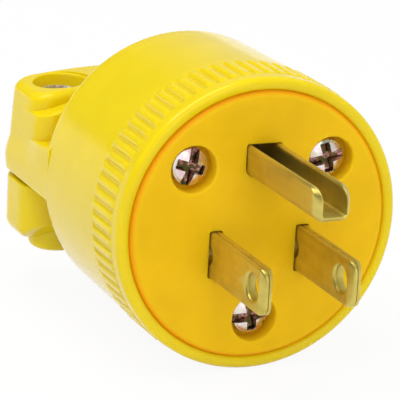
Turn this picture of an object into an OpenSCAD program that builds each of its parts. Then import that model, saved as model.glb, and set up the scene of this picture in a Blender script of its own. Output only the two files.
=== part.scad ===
// Grounding power plug with a screw-on face, two flat blades, a channel ground pin and a rear cord clamp.
// The origin is the centre of the mating face. -Y is out of the face, +Y is towards the cord, +Z is up.

/* [Body] */
// Radius of the body just behind the grip ribs
body_r = 20.5; // [19.5:0.1:23]
// Drop of the body's radius from the ribs to its rear edge
body_taper = 0.3; // [0.1:0.05:0.8]
// Length of the body from the face to its rear wall's outside
body_length = 30; // [27:0.5:45]
// Thickness of the wall around the face
rim_wall = 1.8; // [1.4:0.1:2.4]
// Thickness of the rear wall
rear_wall = 2.6; // [2:0.1:4]
// Rounding of the rear edge
rear_edge_r = 1.2; // [0.5:0.1:1.6]

/* [Grip ribs] */
// Number of ribs around the rim
rib_count = 72; // [48:1:90]
// Height of a rib above its valley
rib_height = 0.55; // [0.3:0.05:0.8]
// Distance from the face to the front end of the ribs
rib_start = 2.6; // [2.2:0.1:4]
// Length of the ribs
rib_length = 6.8; // [4:0.1:10]
// Share of the pitch that a rib takes
rib_share = 0.56; // [0.4:0.02:0.7]

/* [Face] */
// Thickness of the face cover
face_thickness = 7; // [6:0.5:9]
// Gap between the face cover and the rim
groove_gap = 0.25; // [0.15:0.05:0.5]
// Rounding of the face cover's front edge
face_edge_r = 0.9; // [0.4:0.1:1.2]
// Width of the ledge that the face cover sits on
face_ledge = 0.65; // [0.4:0.05:1]

/* [Face screws] */
// Angle of the two upper screws above the middle of the face
face_screw_angle = 40.3; // [32:0.1:46]
// Distance from the mouth's wall to a screw's axis
face_screw_inset = 5.5; // [5.2:0.1:6]
// Radius of the screw's shank
face_screw_r = 1.4; // [1.2:0.05:1.6]
// Radius of the screw's head
face_head_r = 2.6; // [2.4:0.05:2.9]
// Height of the screw's head
face_head_h = 1.9; // [1.5:0.1:2.2]
// Radius of the recess around the head
face_recess_r = 3.25; // [3:0.05:3.5]
// Depth of the recess
face_recess_depth = 2.8; // [2:0.1:4]
// Length of the screw below its head
face_screw_length = 15; // [12:0.5:18]

/* [Blades] */
// Distance between the middles of the two blades
blade_spacing = 12.7; // [12.7:0.1:13]
// Drop of the blades below the middle of the face
blade_drop = 3.55; // [3:0.05:4]
// Thickness of a blade
blade_thickness = 1.64; // [1.4:0.02:1.66]
// Width of a blade
blade_width = 6.35; // [6:0.05:6.5]
// Length of a blade outside the face
blade_length = 17; // [15.9:0.1:18.3]
// Radius of the hole near the tip
blade_hole_r = 1.8; // [1.5:0.1:2]
// Distance from the tip to the middle of that hole
blade_hole_inset = 3.6; // [3:0.1:5]
// Radius of the hole at the blade's root, half hidden in its slot
root_hole_r = 1.55; // [1:0.05:1.8]
// Distance of that hole's middle behind the face
root_hole_inset = 0.55; // [0:0.05:1]
// Rounding of the blade's corners
blade_corner_r = 1.6; // [0.5:0.1:2]
// Length of the bevel at the tip
blade_bevel = 1.2; // [0.4:0.1:1.5]
// Width of the slot that a blade passes
slot_w = 2; // [1.9:0.02:2.6]
// Height of the slot that a blade passes
slot_h = 6.8; // [6.7:0.05:7.2]

/* [Ground pin] */
// Width of the ground pin
pin_width = 4.9; // [4.7:0.1:5.3]
// Height of the ground pin
pin_height = 4.4; // [4.2:0.1:5.4]
// Rounding of its lower corners
pin_corner_r = 1.25; // [1.2:0.05:2]
// Thickness of its folded sheet
pin_sheet = 0.8; // [0.7:0.05:1.2]
// Height of its underside above the blades' middle line
pin_rise = 10.55; // [9.6:0.05:10.8]
// Length of the ground pin outside the face
pin_length = 21.5; // [20:0.1:23]
// Length of the sloped end
pin_slope = 2.4; // [1:0.1:4]
// Room around the pin in its slot
pin_clearance = 0.15; // [0.1:0.05:0.6]

/* [Inside] */
// Length of the shoulders that keep the blades from sliding out
shoulder_length = 2; // [1.5:0.1:2.5]
// Overhang of a shoulder on each side
shoulder_overhang = 1.6; // [1.2:0.1:1.8]
// Thickness of the plate that traps the shoulders
retainer_thickness = 3.5; // [3:0.1:5]
// Length of the terminal tails behind the retainer
tail_length = 8; // [7.5:0.1:9]
// Radius of a terminal screw's head
terminal_head_r = 3; // [2.5:0.1:3.2]
// Height of a terminal screw's head
terminal_head_h = 1.8; // [1.4:0.1:2.2]
// Radius of a terminal screw's shank
terminal_screw_r = 1.6; // [1.4:0.05:1.8]
// Length of a terminal screw below its head
terminal_screw_length = 4.2; // [3:0.1:5]
// Radius of the posts that take the face screws
post_r = 4.2; // [3.8:0.1:4.4]
// Radius of the thinner front end of a post
post_neck_r = 2.8; // [2.4:0.1:3]
// Clearance where one piece slides over another
fit_clearance = 0.2; // [0.1:0.05:0.3]
// Clearance between a screw's shank and its hole
thread_clearance = 0.05; // [0.02:0.01:0.1]

/* [Cord clamp] */
// Distance of the clamp screws from the middle plane
clamp_screw_x = 13.1; // [12.2:0.1:14]
// Distance from the rear wall to the clamp screws
clamp_reach = 12.4; // [11:0.1:15]
// Height of the fixed arm's underside
arm_bottom = -3.9; // [-5:0.1:-3]
// Height where the wide arm ends and the narrower block starts
arm_top = 2.9; // [2.5:0.1:4]
// Rounding of the arm's rear corners
arm_corner_r = 4; // [2:0.1:6]
// Height of the block's crowned top at its middle
block_top = 10.9; // [10.5:0.1:12]
// Radius of the block's crown
block_crown_r = 120; // [100:5:300]
// Reach of the block beyond the screws
block_reach = 6.2; // [5.5:0.1:6.6]
// Depth of the step below the block's front
step_depth = 1.8; // [1:0.1:2.5]
// Height of the step at its ends
step_top = 7; // [6:0.1:8]
// Rise of the step towards the middle
step_rise = 3; // [1:0.1:3.5]
// Half width of the step's flat middle
step_flat = 9; // [6:0.5:12]
// Distance that the web to the body lies inside the block's ends
web_inset = 2; // [0.5:0.1:4]
// Rounding of the block's upright front corners
block_corner_r = 1.5; // [0.5:0.1:3]
// Rounding of the block's rear corners
block_rear_r = 4; // [2:0.1:6]
// Rounding of the block's long top edges
block_edge_r = 1; // [0.6:0.1:2]
// Radius of the recess around a clamp screw's head
clamp_recess_r = 4; // [3.8:0.1:4.6]
// Depth of that recess below the crown's middle
clamp_recess_depth = 3.9; // [3.5:0.1:4.5]
// Radius of a clamp screw's head
clamp_head_r = 3.5; // [3:0.1:3.6]
// Height of a clamp screw's head
clamp_head_h = 2.2; // [1.8:0.1:2.6]
// Radius of a clamp screw's shank
clamp_screw_r = 1.75; // [1.5:0.05:2]
// Gap between the arm and the loose jaw
jaw_gap = 0.5; // [0.3:0.05:1]
// Height of the loose jaw's underside
jaw_bottom = -13.2; // [-15:0.1:-12.8]
// Height of the jaw's underside at its front edge
jaw_front_bottom = -10.4; // [-11.5:0.1:-9.5]
// Length of the slope under the jaw's front edge
jaw_slope = 3.6; // [2:0.1:5]
// Reach of the jaw beyond the screws
jaw_reach = 6.2; // [5.6:0.1:6.6]
// Rounding of the jaw's upright corners
jaw_corner_r = 4.5; // [3:0.1:5.5]
// Rounding of the jaw's lower edges
jaw_edge_r = 2; // [1:0.1:3]
// Radius of the round bosses under the jaw
boss_r = 3.9; // [3.7:0.1:5]
// Drop of a boss below the jaw
boss_drop = 1.7; // [1.5:0.1:3]
// Width across the flats of a clamp nut
nut_flats = 5.5; // [5:0.1:6]
// Height of a clamp nut
nut_height = 2.6; // [2:0.1:3]
// Radius of the cord's channel
cord_r = 5.5; // [4:0.1:5.8]

/* [Hidden] */
$fn = 96;
margin = 1;
rim_drop = 0.05;
root_overlap = 0.3;
pitch_angle = 360 / rib_count;
body_rear_r = body_r - body_taper;
rim_r = body_r - rim_drop;
rib_end = rib_start + rib_length;
rib_top_r = rim_r + rib_height / 2;
rib_root_r = rim_r - rib_height / 2;
bead_r = rim_wall / 2;
bead_front = 0.2;
mouth_r = rim_r - rim_wall;
face_r = mouth_r - groove_gap;
chamber_r = mouth_r - face_ledge;
chamber_end = body_length - rear_wall;
retainer_back = face_thickness + retainer_thickness;
retainer_r = chamber_r - 2 * fit_clearance;
screw_circle_r = mouth_r - face_screw_inset;
face_screw_spots = [
    for (angle = [face_screw_angle, 180 - face_screw_angle, 270])
        screw_circle_r * [cos(angle), sin(angle)]
];
face_screw_turns = [-13.5, -73, -8];
shoulder_end = face_thickness + shoulder_length;
shoulder_h = blade_width + 2 * shoulder_overhang;
tail_end = retainer_back + tail_length;
terminal_edge = 0.8;
terminal_y = tail_end - terminal_head_r - terminal_edge;
blade_x = blade_spacing / 2;
pin_bottom = pin_rise - blade_drop;
pin_top = pin_bottom + pin_height;
pin_corner_z = pin_bottom + pin_corner_r;
pin_corner_x = pin_width / 2 - pin_corner_r;
ground_tail_z = pin_bottom + pin_sheet / 2;
clamp_y = body_length + clamp_reach;
arm_back = clamp_y + block_reach;
block_front = clamp_y - block_reach;
block_back = arm_back;
block_half = clamp_screw_x + block_reach;
web_half = block_half - web_inset;
step_front = block_front - step_depth;
step_mid_top = step_top + step_rise;
clamp_seat_z = block_top - clamp_recess_depth;
clamp_screw_turn = 25;
cord_z = arm_bottom - jaw_gap / 2;
jaw_top = arm_bottom - jaw_gap;
jaw_front = clamp_y - jaw_reach;
jaw_back = clamp_y + jaw_reach;
jaw_half = clamp_screw_x + jaw_reach;
boss_bottom = jaw_bottom - boss_drop;
boss_edge_r = jaw_edge_r / 2;
nut_sink = 0.4;
nut_seat_z = boss_bottom + nut_height + nut_sink;
nut_r = nut_flats / 2 / cos(30);
vinyl_yellow = "#f2d51f";
cover_yellow = "#e8c322";
brass = "#b8963c";
zinc = "#b9b3ae";
green_plate = "#3f7a4a";

// Extrudes a shape drawn in X and Z from y0 to y1
module slice(y0, y1) {
    translate([0, y1, 0]) rotate([90, 0, 0]) linear_extrude(y1 - y0) children();
}

// Extrudes a shape drawn in Y and Z from x0 to x1
module across(x0, x1) {
    translate([x0, 0, 0]) rotate([90, 0, 90]) linear_extrude(x1 - x0) children();
}

// Extrudes a shape drawn in X and Y from z0 to z1
module rise(z0, z1) {
    translate([0, 0, z0]) linear_extrude(z1 - z0) children();
}

// Turns a profile of radius and Y about the Y axis
module turned() {
    rotate([-90, 0, 0]) rotate_extrude() children();
}

// Rectangle from one corner to the other
module span(low, high) {
    translate(low) square(high - low);
}

// Rectangle with its four corners rounded
module rounded_span(low, high, r) {
    span(low + [r, 0], high - [r, 0]);
    span(low + [0, r], high - [0, r]);
    for (x = [low.x + r, high.x - r])
        for (y = [low.y + r, high.y - r])
            translate([x, y]) circle(r);
}

// Rectangle in X and Y about the middle plane, with its two rear corners rounded
module rear_rounded(half, front, back, r) {
    span([-half, front], [half, back - r]);
    span([-half + r, front], [half - r, back]);
    for (side = [-1, 1])
        translate([side * (half - r), back - r]) circle(r);
}

// Body's outer form, with a waist where the ribs stand
module body_outer() {
    turned() {
        polygon([
            [0, bead_front], [rim_r - bead_r, bead_front], [rim_r, bead_front + bead_r],
            [rim_r, rib_start], [rib_root_r - root_overlap, rib_start],
            [rib_root_r - root_overlap, rib_end], [body_r, rib_end],
            [body_rear_r, body_length - rear_edge_r], [body_rear_r - rear_edge_r, body_length],
            [0, body_length]
        ]);
        translate([rim_r - bead_r, bead_front + bead_r]) circle(bead_r);
        translate([body_rear_r - rear_edge_r, body_length - rear_edge_r]) circle(rear_edge_r);
    }
}

// Toothed band of grip ribs
module grip_ribs() {
    half_rib = pitch_angle * rib_share / 2;
    half_valley = pitch_angle * (1 - rib_share) / 2;
    flank = pitch_angle * 0.06;
    outline = [
        for (i = [0 : rib_count - 1])
            for (step = [
                [-half_rib + flank, rib_top_r], [half_rib - flank, rib_top_r],
                [half_rib + flank, rib_root_r], [half_rib + 2 * half_valley - flank, rib_root_r]
            ])
                let (angle = i * pitch_angle + step[0])
                    step[1] * [cos(angle), sin(angle)]
    ];
    slice(rib_start, rib_end) polygon(outline);
}

// Wide arm behind the body, flush with the body's sides
module clamp_arm() {
    intersection() {
        rise(arm_bottom, arm_top) rear_rounded(body_rear_r, chamber_end, arm_back, arm_corner_r);
        slice(chamber_end, arm_back) circle(body_rear_r);
    }
}

// Crowned block on the arm that holds the screw heads
module clamp_block() {
    foot = arm_top - margin;
    intersection() {
        rise(foot, block_top) {
            rear_rounded(block_half, block_front + block_corner_r, block_back, block_rear_r);
            rounded_span(
                [-block_half, block_front], [block_half, clamp_y + block_corner_r], block_corner_r
            );
        }
        across(-body_r, body_r)
            rounded_span([block_front, foot - block_edge_r], [block_back, block_top], block_edge_r);
        translate([0, 0, block_top - block_crown_r]) slice(block_front, block_back) circle(block_crown_r);
    }
}

// Step below the block's front and the web from it to the body, both with a roof-shaped top
module clamp_web() {
    foot = arm_top - margin;
    intersection() {
        rise(foot, step_mid_top) {
            rounded_span(
                [-block_half, step_front], [block_half, clamp_y + block_corner_r], block_corner_r
            );
            span([-web_half, chamber_end], [web_half, clamp_y]);
        }
        slice(chamber_end, clamp_y + block_corner_r) polygon([
            [-block_half, foot], [block_half, foot], [block_half, step_top], [step_flat, step_mid_top],
            [-step_flat, step_mid_top], [-block_half, step_top]
        ]);
        slice(chamber_end, clamp_y + block_corner_r) circle(body_rear_r);
    }
}

// Posts inside the body that the face screws turn into
module screw_posts() {
    for (spot = face_screw_spots) {
        translate([spot.x, 0, spot.y]) slice(retainer_back, chamber_end + margin) circle(post_r);
        translate([spot.x, 0, spot.y]) slice(face_thickness, retainer_back + margin) circle(post_neck_r);
    }
}

// Yellow body with its clamp arm
module shell() {
    color(vinyl_yellow) difference() {
        union() {
            difference() {
                union() {
                    body_outer();
                    grip_ribs();
                    clamp_arm();
                    clamp_block();
                    clamp_web();
                }
                slice(-margin, face_thickness) circle(mouth_r);
                slice(-margin, chamber_end) circle(chamber_r);
            }
            screw_posts();
        }
        for (spot = face_screw_spots)
            translate([spot.x, 0, spot.y])
                slice(face_thickness - margin, face_recess_depth + face_screw_length + margin)
                    circle(face_screw_r + thread_clearance);
        translate([0, 0, cord_z]) slice(chamber_end, arm_back + margin) circle(cord_r);
        for (side = [-1, 1])
            translate([side * clamp_screw_x, clamp_y, 0]) {
                rise(arm_bottom - margin, block_top) circle(clamp_screw_r + fit_clearance);
                rise(clamp_seat_z, block_top + margin) circle(clamp_recess_r);
            }
    }
}

// Section of the ground pin, with rounded lower corners
module pin_outline(grow) {
    half = pin_width / 2 + grow;
    span([-half, pin_corner_z], [half, pin_top + grow]);
    span([-pin_corner_x, pin_bottom - grow], [pin_corner_x, pin_top]);
    for (side = [-1, 1])
        translate([side * pin_corner_x, pin_corner_z]) circle(pin_corner_r + grow);
}

// Round front plate with the blade slots and the screw recesses
module face_cover() {
    color(cover_yellow) difference() {
        turned() {
            span([0, 0], [face_r - face_edge_r, face_thickness]);
            span([0, face_edge_r], [face_r, face_thickness]);
            translate([face_r - face_edge_r, face_edge_r]) circle(face_edge_r);
        }
        for (side = [-1, 1])
            slice(-margin, face_thickness + margin)
                translate([side * blade_x - slot_w / 2, -blade_drop - slot_h / 2]) square([slot_w, slot_h]);
        slice(-margin, face_thickness + margin) pin_outline(pin_clearance);
        for (spot = face_screw_spots)
            translate([spot.x, 0, spot.y]) {
                slice(-margin, face_recess_depth) circle(face_recess_r);
                slice(0, face_thickness + margin) circle(face_screw_r + fit_clearance);
            }
    }
}

// Plate that traps the shoulders of the blades and the ground pin against the face cover
module blade_retainer() {
    pocket_end = shoulder_end + fit_clearance / 2;
    color("ivory") difference() {
        slice(face_thickness, retainer_back) circle(retainer_r);
        for (spot = face_screw_spots)
            translate([spot.x, 0, spot.y])
                slice(face_thickness - margin, retainer_back + margin) circle(post_neck_r + fit_clearance);
        for (side = [-1, 1])
            translate([side * blade_x, 0, -blade_drop]) {
                slot_half = blade_thickness / 2 + fit_clearance;
                pocket_half = shoulder_h / 2 + fit_clearance;
                tail_half = blade_width / 2 + fit_clearance;
                slice(face_thickness - margin, pocket_end)
                    span([-slot_half, -pocket_half], [slot_half, pocket_half]);
                slice(face_thickness, retainer_back + margin)
                    span([-slot_half, -tail_half], [slot_half, tail_half]);
            }
        slice(face_thickness - margin, pocket_end) pin_outline(shoulder_overhang + fit_clearance);
        slice(face_thickness, retainer_back + margin) ground_tail_section(fit_clearance);
    }
}

// Flat blade with a holed tip, a shoulder and a terminal tail
module blade(side) {
    half_width = blade_width / 2;
    color(brass) translate([side * blade_x, 0, -blade_drop]) intersection() {
        across(-blade_thickness / 2, blade_thickness / 2) difference() {
            union() {
                rounded_span([-blade_length, -half_width], [shoulder_end, half_width], blade_corner_r);
                span([face_thickness, -shoulder_h / 2], [shoulder_end, shoulder_h / 2]);
                span([0, -half_width], [tail_end, half_width]);
            }
            translate([-blade_length + blade_hole_inset, 0]) circle(blade_hole_r);
            translate([root_hole_inset, 0]) circle(root_hole_r);
            translate([terminal_y, 0]) circle(terminal_screw_r + thread_clearance);
        }
        rise(-shoulder_h, shoulder_h) polygon([
            [-blade_thickness / 4, -blade_length], [blade_thickness / 4, -blade_length],
            [blade_thickness / 2, -blade_length + blade_bevel], [blade_thickness / 2, tail_end],
            [-blade_thickness / 2, tail_end], [-blade_thickness / 2, -blade_length + blade_bevel]
        ]);
    }
}

module line_blade() {
    blade(1);
}

module neutral_blade() {
    blade(-1);
}

// Section of the ground pin's flat tail
module ground_tail_section(grow) {
    span(
        [-pin_width / 2 - grow, ground_tail_z - pin_sheet / 2 - grow],
        [pin_width / 2 + grow, ground_tail_z + pin_sheet / 2 + grow]
    );
}

// Folded channel pin, open at the top, with a sloped end, a shoulder and a terminal tail
module ground_pin() {
    inner_half = pin_width / 2 - pin_sheet;
    color(brass) difference() {
        union() {
            difference() {
                slice(-pin_length, shoulder_end) pin_outline(0);
                slice(-pin_length - margin, face_thickness) {
                    pin_outline(-pin_sheet);
                    span([-inner_half, pin_corner_z], [inner_half, pin_top + margin]);
                }
                across(-pin_width, pin_width) polygon([
                    [-pin_length - margin, pin_top + margin],
                    [-pin_length - margin, pin_top - pin_slope - margin],
                    [-pin_length + pin_slope + margin, pin_top + margin]
                ]);
            }
            slice(face_thickness, shoulder_end) pin_outline(shoulder_overhang);
            slice(shoulder_end - margin, tail_end) ground_tail_section(0);
        }
        translate([0, terminal_y, 0])
            rise(pin_bottom, pin_top) circle(terminal_screw_r + thread_clearance);
    }
}

// Screw along +Z with its head's underside at the origin and a slot and cross cut into its top
module machine_screw(shank_r, length, head_r, head_h, cross) {
    slot = head_r * 0.34;
    slot_depth = head_h * 0.55;
    rim_h = head_h * 0.5;
    crown_r = (head_r * head_r + pow(head_h - rim_h, 2)) / (2 * (head_h - rim_h));
    translate([0, 0, -length]) cylinder(r = shank_r, h = length + head_h / 4);
    difference() {
        intersection() {
            cylinder(r = head_r, h = head_h);
            translate([0, 0, head_h - crown_r]) sphere(crown_r);
        }
        translate([-head_r * 2, -slot / 2, head_h - slot_depth]) cube([head_r * 4, slot, head_h]);
        if (cross)
            translate([-slot / 2, -head_r * 0.72, head_h - slot_depth]) cube([slot, head_r * 1.44, head_h]);
    }
}

module terminal_screw() {
    machine_screw(terminal_screw_r, terminal_screw_length, terminal_head_r, terminal_head_h, false);
}

module line_terminal_screw() {
    color(brass)
        translate([blade_x + blade_thickness / 2, terminal_y, -blade_drop])
            rotate([0, 90, 0]) terminal_screw();
}

module neutral_terminal_screw() {
    color(zinc)
        translate([-blade_x - blade_thickness / 2, terminal_y, -blade_drop])
            rotate([0, -90, 0]) terminal_screw();
}

module ground_terminal_screw() {
    color(green_plate)
        translate([0, terminal_y, ground_tail_z + pin_sheet / 2]) terminal_screw();
}

module face_screws() {
    color(zinc) for (i = [0 : len(face_screw_spots) - 1])
        translate([face_screw_spots[i].x, face_recess_depth, face_screw_spots[i].y])
            rotate([90, face_screw_turns[i], 0])
                machine_screw(face_screw_r, face_screw_length, face_head_r, face_head_h, true);
}

// Loose lower jaw with a half-round saddle and two nut bosses
module cord_clamp_jaw() {
    color(vinyl_yellow) difference() {
        union() {
            intersection() {
                rise(jaw_bottom, jaw_top)
                    rounded_span([-jaw_half, jaw_front], [jaw_half, jaw_back], jaw_corner_r);
                across(-body_r, body_r) difference() {
                    rounded_span([jaw_front, jaw_bottom], [jaw_back, jaw_top + jaw_edge_r], jaw_edge_r);
                    polygon([
                        [jaw_front - margin, jaw_front_bottom], [jaw_front, jaw_front_bottom],
                        [jaw_front + jaw_slope, jaw_bottom], [jaw_front + jaw_slope, jaw_bottom - margin],
                        [jaw_front - margin, jaw_bottom - margin]
                    ]);
                }
                slice(jaw_front - margin, jaw_back + margin)
                    rounded_span(
                        [-jaw_half, jaw_bottom], [jaw_half, jaw_top + jaw_edge_r], jaw_edge_r
                    );
            }
            for (side = [-1, 1])
                translate([side * clamp_screw_x, clamp_y, 0]) rotate_extrude() {
                    span([0, boss_bottom], [boss_r - boss_edge_r, jaw_top - margin]);
                    span([0, boss_bottom + boss_edge_r], [boss_r, jaw_top - margin]);
                    translate([boss_r - boss_edge_r, boss_bottom + boss_edge_r]) circle(boss_edge_r);
                }
        }
        translate([0, 0, cord_z]) slice(jaw_front - margin, jaw_back + margin) circle(cord_r);
        for (side = [-1, 1])
            translate([side * clamp_screw_x, clamp_y, 0]) {
                rise(boss_bottom - margin, jaw_top + margin) circle(clamp_screw_r + fit_clearance);
                rise(boss_bottom - margin, nut_seat_z) circle(nut_r + fit_clearance, $fn = 6);
            }
    }
}

module clamp_screws() {
    color(zinc) for (side = [-1, 1])
        translate([side * clamp_screw_x, clamp_y, clamp_seat_z])
            rotate([0, 0, clamp_screw_turn * side])
                machine_screw(
                    clamp_screw_r, clamp_seat_z - nut_seat_z + nut_height, clamp_head_r, clamp_head_h, true
                );
}

module clamp_nuts() {
    color(zinc) for (side = [-1, 1])
        translate([side * clamp_screw_x, clamp_y, 0])
            rise(nut_seat_z - nut_height, nut_seat_z) difference() {
                circle(nut_r, $fn = 6);
                circle(clamp_screw_r + thread_clearance);
            }
}

shell();
face_cover();
blade_retainer();
line_blade();
neutral_blade();
ground_pin();
line_terminal_screw();
neutral_terminal_screw();
ground_terminal_screw();
face_screws();
cord_clamp_jaw();
clamp_screws();
clamp_nuts();
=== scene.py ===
"""Looks of a yellow three-blade power plug with a screwed cord clamp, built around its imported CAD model."""

import math

import bpy
import numpy as np
from mathutils import Matrix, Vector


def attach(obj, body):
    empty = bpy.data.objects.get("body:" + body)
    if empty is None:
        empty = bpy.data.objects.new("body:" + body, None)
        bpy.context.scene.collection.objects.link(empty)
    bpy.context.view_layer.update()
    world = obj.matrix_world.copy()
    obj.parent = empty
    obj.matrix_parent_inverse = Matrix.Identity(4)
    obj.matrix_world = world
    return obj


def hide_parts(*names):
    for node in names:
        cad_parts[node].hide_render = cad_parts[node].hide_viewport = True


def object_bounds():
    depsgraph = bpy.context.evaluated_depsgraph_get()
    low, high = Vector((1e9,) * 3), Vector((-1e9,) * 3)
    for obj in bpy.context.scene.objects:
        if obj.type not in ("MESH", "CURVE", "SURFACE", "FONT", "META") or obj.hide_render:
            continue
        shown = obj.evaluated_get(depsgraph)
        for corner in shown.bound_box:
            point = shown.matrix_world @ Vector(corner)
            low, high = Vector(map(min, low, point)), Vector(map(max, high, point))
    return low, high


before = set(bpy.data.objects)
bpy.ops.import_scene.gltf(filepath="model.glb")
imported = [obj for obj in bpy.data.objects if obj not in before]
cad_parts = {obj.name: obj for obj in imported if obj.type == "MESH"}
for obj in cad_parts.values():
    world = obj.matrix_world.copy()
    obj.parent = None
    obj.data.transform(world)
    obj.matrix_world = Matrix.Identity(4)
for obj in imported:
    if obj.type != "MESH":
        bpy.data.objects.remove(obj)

CAD_BOX = [list(corner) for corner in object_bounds()]

bl_info = {
    "name": "Power plug",
    "version": (1, 0, 0),
    "blender": (4, 5, 0),
    "location": "3D View > Sidebar > Power Plug",
    "description": "Builds the dressed pieces, materials and stage of a three-blade power plug",
    "category": "Object",
}

MM = 0.001

# Places that every piece shares with the CAD model, in millimetres
BODY_LENGTH = 30.0
CHAMBER_END = 27.4
FACE_THICKNESS = 7.0
BLADE_X = 6.35
BLADE_Z = -3.55
PIN_LOW = 7.0
PIN_HIGH = 11.4
PIN_WIDTH = 4.9
CLAMP_X = 13.1
CLAMP_Y = 42.4
CLAMP_REACH = 6.2
CLAMP_FRONT = CLAMP_Y - CLAMP_REACH
CLAMP_BACK = CLAMP_Y + CLAMP_REACH
CLAMP_HALF = CLAMP_X + CLAMP_REACH
ARM_LOW = -3.9
ARM_HIGH = 2.9
ARM_MIDDLE = 40.0
ARM_SLOPE = 0.12
BLOCK_TOP = 10.9
BLOCK_CROWN = 120.0
BLOCK_FOOT = 0.4
STEP_FRONT = CLAMP_FRONT - 2.9
STEP_TOP = 7.0
STEP_RISE = 3.0
STEP_FLAT = 9.0
WEB_HALF = 15.0
SCREW_SEAT = 7.0
JAW_HIGH = -4.4
JAW_LOW = -12.9
BOSS_LOW = -14.9
NUT_SEAT = -11.9
NUT_FLATS = 5.5
CORD_Z = -4.15
CORD_R = 5.5
FACE_SCREW_CIRCLE = 13.15
FACE_SCREW_ANGLES = (40.3, 139.7, 270.0)
FACE_SCREW_TURNS = (13.5, 73.0, 8.0)
FACE_RECESS = 2.8

# Roundings of the clamp's step and block, in millimetres
FRONT_CORNER = 3.0
REAR_CORNER = 4.0
HIDDEN_CORNER = 0.3
FOOT_ROUND = 0.3
STEP_ROUND = 0.25

# Smallest radius that is drawn, and the overlap that keeps two pieces from sharing a face, in millimetres
HAIR = 0.02

# Angle in degrees past which an edge is shaded sharp
SHARP_ANGLE = 40

# Camera of the photograph: its sensor in millimetres, the nearest distance it shows and its place in metres,
# and its right, down and forward directions
SENSOR_WIDTH = 36
NEAREST = 0.01
CAMERA_PLACE = (-0.14436, -0.29964, 0.10390)
CAMERA_RIGHT = (0.9164602, -0.39679598, 0.05151355)
CAMERA_DOWN = (-0.07008247, -0.28593634, -0.9556824)
CAMERA_AHEAD = (0.39394053, 0.87223469, -0.28985772)

# Studio: places and sizes in metres, and how much of the floor that the camera sees is even white
KEY_PLACE = (-0.16, 0.03, 0.55)
KEY_SIZE = 0.45
FILL_PLACE = (-0.05, -0.60, 0.30)
FILL_SIZE = 0.50
LIGHT_TARGET = (0, 0.015, 0)
FLOOR_HALF = 3.0
FLOOR_WHITE = 0.93


# Arrays of points

def line(start, end, count):
    """Count points spaced evenly from start towards end, without end itself."""
    steps = np.arange(count)[:, None] / count
    return np.asarray(start, float) * (1 - steps) + np.asarray(end, float) * steps


def arc(centre, radius, start, end, count):
    """Count points on a circle from one angle in degrees towards another, without the last."""
    angles = np.radians(start + (end - start) * np.arange(count) / count)
    return np.asarray(centre, float) + radius * np.stack([np.cos(angles), np.sin(angles)], -1)


def smooth_step(low, high, values):
    """0 at low, 1 at high, and 3t^2 - 2t^3 of the fraction t between them."""
    t = np.clip((values - low) / (high - low), 0, 1)
    return t * t * (3 - 2 * t)


def rounded_rectangle(low, high, low_r, high_r, inset, corner=10, side=12):
    """Closed outlines, one row for each inset, of a rectangle with rounded corners.

    Each side moves in by the inset and each corner's radius shrinks by it. A corner is a quarter
    circle about the point one radius in from both sides: low_r at the two corners with the lower
    second coordinate, high_r at the two others. Straight sides join the quarter circles evenly."""
    inset = np.atleast_1d(np.asarray(inset, float))[:, None]
    x0, x1 = np.reshape(low[0], (-1, 1)) + inset, np.reshape(high[0], (-1, 1)) - inset
    y0, y1 = low[1] + inset, high[1] - inset
    r_low = np.maximum(low_r - inset, HAIR)
    r_high = np.maximum(high_r - inset, HAIR)
    turn = np.radians(np.linspace(0, 90, corner))[None, :]
    quarters = []
    for x, y, r, start in (
        (x1 - r_low, y0 + r_low, r_low, -90),
        (x1 - r_high, y1 - r_high, r_high, 0),
        (x0 + r_high, y1 - r_high, r_high, 90),
        (x0 + r_low, y0 + r_low, r_low, 180),
    ):
        angle = turn + math.radians(start)
        quarters.append(np.stack([x + r * np.cos(angle), y + r * np.sin(angle)], -1))
    share = (np.arange(1, side + 1) / (side + 1))[None, :, None]
    pieces = []
    for this, following in zip(quarters, quarters[1:] + quarters[:1]):
        pieces += [this, this[:, -1:] * (1 - share) + following[:, :1] * share]
    return np.concatenate(pieces, 1)


def capped(outlines, heights, cap):
    """Stack of closed outlines at their heights, shut at both ends.

    An end is its outline, shrunk in a number of even steps to the mean of its points."""
    shrink = np.linspace(0, 1, cap, endpoint=False)[:, None, None]
    first, last = outlines[:1], outlines[-1:]
    start = first.mean(1, keepdims=True) * (1 - shrink) + first * shrink
    end = (last.mean(1, keepdims=True) * (1 - shrink) + last * shrink)[::-1]
    flat = np.concatenate([start, outlines, end])
    level = np.concatenate([np.full(cap, heights[0]), heights, np.full(cap, heights[-1])])
    return flat, np.broadcast_to(level[:, None], flat.shape[:2])


def edge_profile(low, high, low_r, high_r, steps=7):
    """Heights and insets of an upright side whose lower and upper edges are quarter rounds."""
    sides = 10
    turn = np.radians(np.linspace(0, 90, steps))
    heights = np.concatenate([
        low + low_r * (1 - np.cos(turn)),
        np.linspace(low + low_r, high - high_r, sides + 2)[1:-1],
        high - high_r + high_r * np.sin(turn),
    ])
    insets = np.concatenate([low_r * (1 - np.sin(turn)), np.zeros(sides), high_r * (1 - np.cos(turn))])
    return heights, insets


def rise(flat, level):
    """Points of outlines drawn in X and Y and stacked along Z."""
    return np.stack([flat[..., 0], flat[..., 1], level], -1)


def slice_along(flat, level):
    """Points of outlines drawn in X and Z and stacked along Y."""
    return np.stack([flat[..., 0], level, flat[..., 1]], -1)


def turned(profile, count):
    """Surface of revolution about the Y axis: (r, y) at angle a goes to (r cos a, y, r sin a)."""
    angle = np.linspace(0, 2 * math.pi, count, endpoint=False)[None, :]
    radius, height = profile[:, :1], profile[:, 1:]
    return np.stack([radius * np.cos(angle), height + 0 * angle, radius * np.sin(angle)], -1)


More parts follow.
